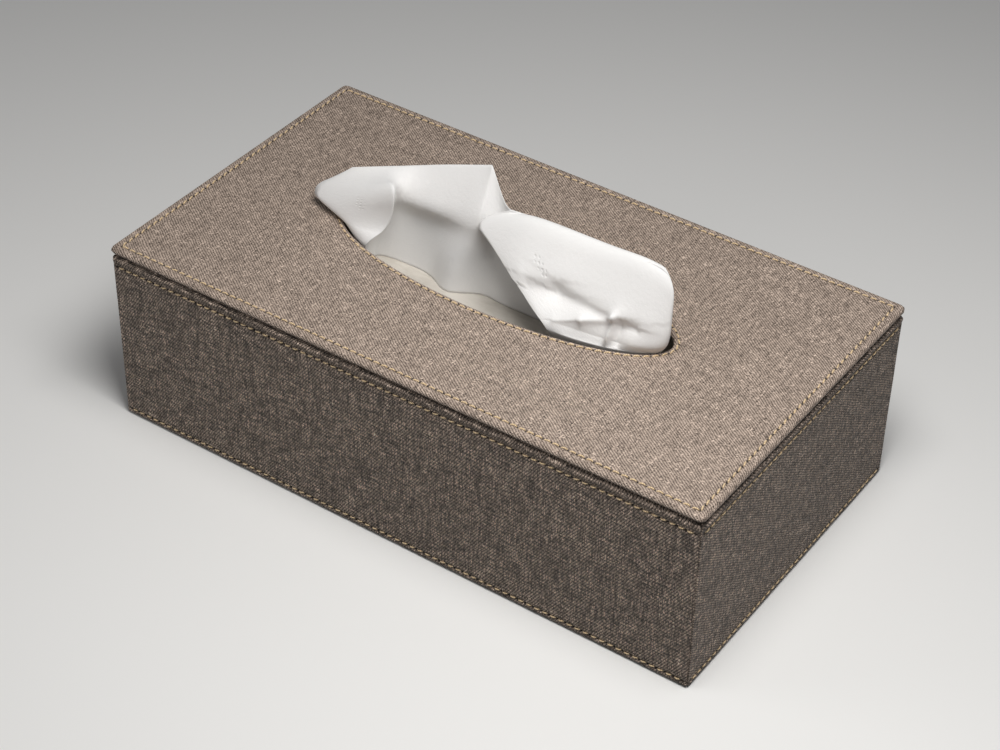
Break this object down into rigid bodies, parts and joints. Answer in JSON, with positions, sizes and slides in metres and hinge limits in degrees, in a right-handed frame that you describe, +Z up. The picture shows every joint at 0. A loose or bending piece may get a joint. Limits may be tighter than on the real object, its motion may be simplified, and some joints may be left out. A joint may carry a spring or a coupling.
{
  "type": "leatherette tissue box",
  "caption": "Rectangular tissue box of stitched leatherette over board, with a flap lid hinged at the back, an oval slot and one tissue drawn up through it.",
  "frame": {"origin": "centre of the base, on the surface that the box stands on", "axes": "+X along the long side to the right, +Y from the front wall to the hinged back wall, +Z up"},
  "size_m": [0.25, 0.1391, 0.1144],
  "materials": {
    "leatherette": "taupe linen-weave leatherette, matt",
    "thread": "golden tan sewing thread",
    "board": "bare fibreboard, hidden",
    "lining": "brown flock lining",
    "felt": "dark felt",
    "tissue": "soft white tissue"
  },
  "bodies": {
    "box": {"front_board": "board", "front_cover": "leatherette", "right_board": "board", "right_cover": "leatherette", "back_board": "board", "back_cover": "leatherette", "left_board": "board", "left_cover": "leatherette", "base_board": "board", "base_pad": "felt", "floor_lining": "lining", "wall_lining": "lining", "hinge_strip": "leatherette", "tissue_pack": "tissue", "pulled_tissue": "tissue", "front_foot_thread": "thread", "front_top_thread": "thread", "right_foot_thread": "thread", "right_top_thread": "thread", "back_foot_thread": "thread", "left_foot_thread": "thread", "left_top_thread": "thread", "hinge_thread": "thread"},
    "lid": {"lid_board": "board", "lid_cover": "leatherette", "lid_lining": "lining", "lid_edge_thread": "thread", "slot_thread": "thread"}
  },
  "joints": [
    {"name": "lid_hinge", "type": "hinge", "parent": "box", "child": "lid", "pos_m": [0, 0.0692, 0.0736], "axis": [-1, 0, 0], "range_deg": [0, 150], "deforming": ["hinge_strip", "pulled_tissue"]}
  ]
}
